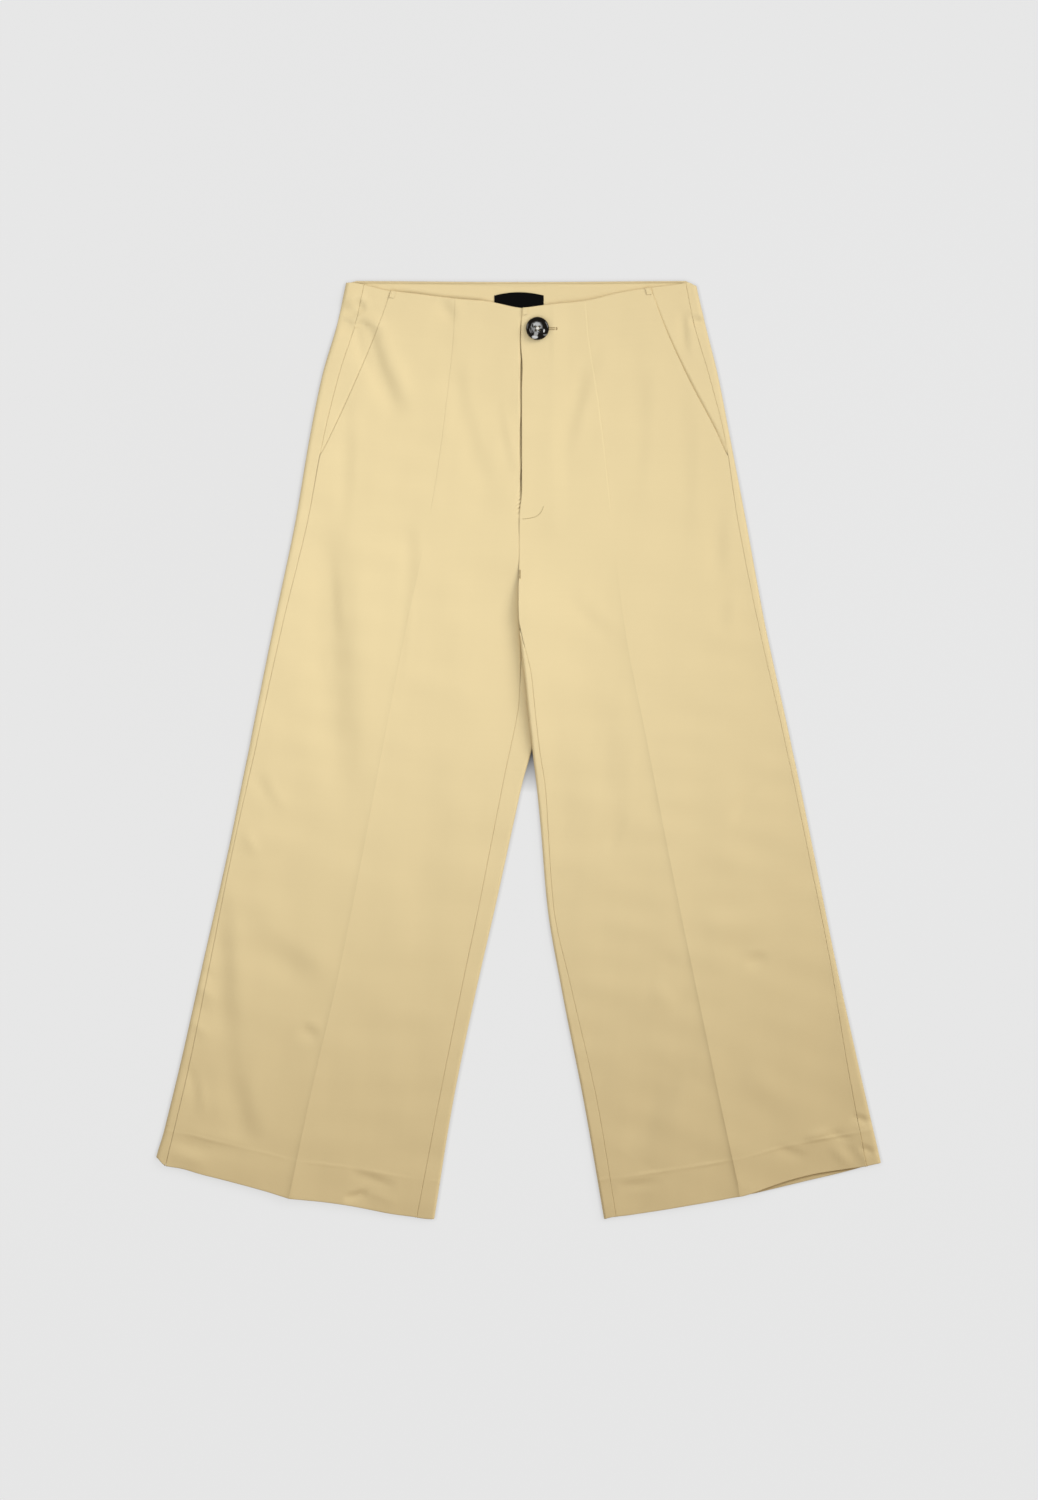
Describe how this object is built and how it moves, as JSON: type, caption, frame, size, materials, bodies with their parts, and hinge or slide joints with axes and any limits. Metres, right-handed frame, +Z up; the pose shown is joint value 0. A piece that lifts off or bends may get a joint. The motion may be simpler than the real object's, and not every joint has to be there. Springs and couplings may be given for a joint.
{
  "type": "culottes",
  "caption": "Women's wide-leg culottes laid flat, front up, with a faced waist, buttoned fly, slant pockets, stitched darts and pressed creases.",
  "frame": {"origin": "on the surface the garment lies on, under the middle of its outline", "axes": "+X towards the wearer's left, +Y up to the waist, +Z up off the surface and out of the front of the garment"},
  "size_m": [0.696, 0.9, 0.0116],
  "materials": {
    "cloth": "straw-coloured cotton twill, smooth and slightly lustrous",
    "facing": "the same cotton twill, seen from inside the waist",
    "label": "black satin-woven label, bare",
    "thread": "matching sewing thread",
    "button": "polished horn-look resin, charcoal with grey clouds"
  },
  "bodies": {
    "root": {"front_left": "cloth", "front_right": "cloth", "back_left": "cloth", "back_right": "cloth", "pocket_facing_left": "cloth", "pocket_facing_right": "cloth", "waist_facing_back": "facing", "label": "label", "button": "button"}
  },
  "joints": []
}
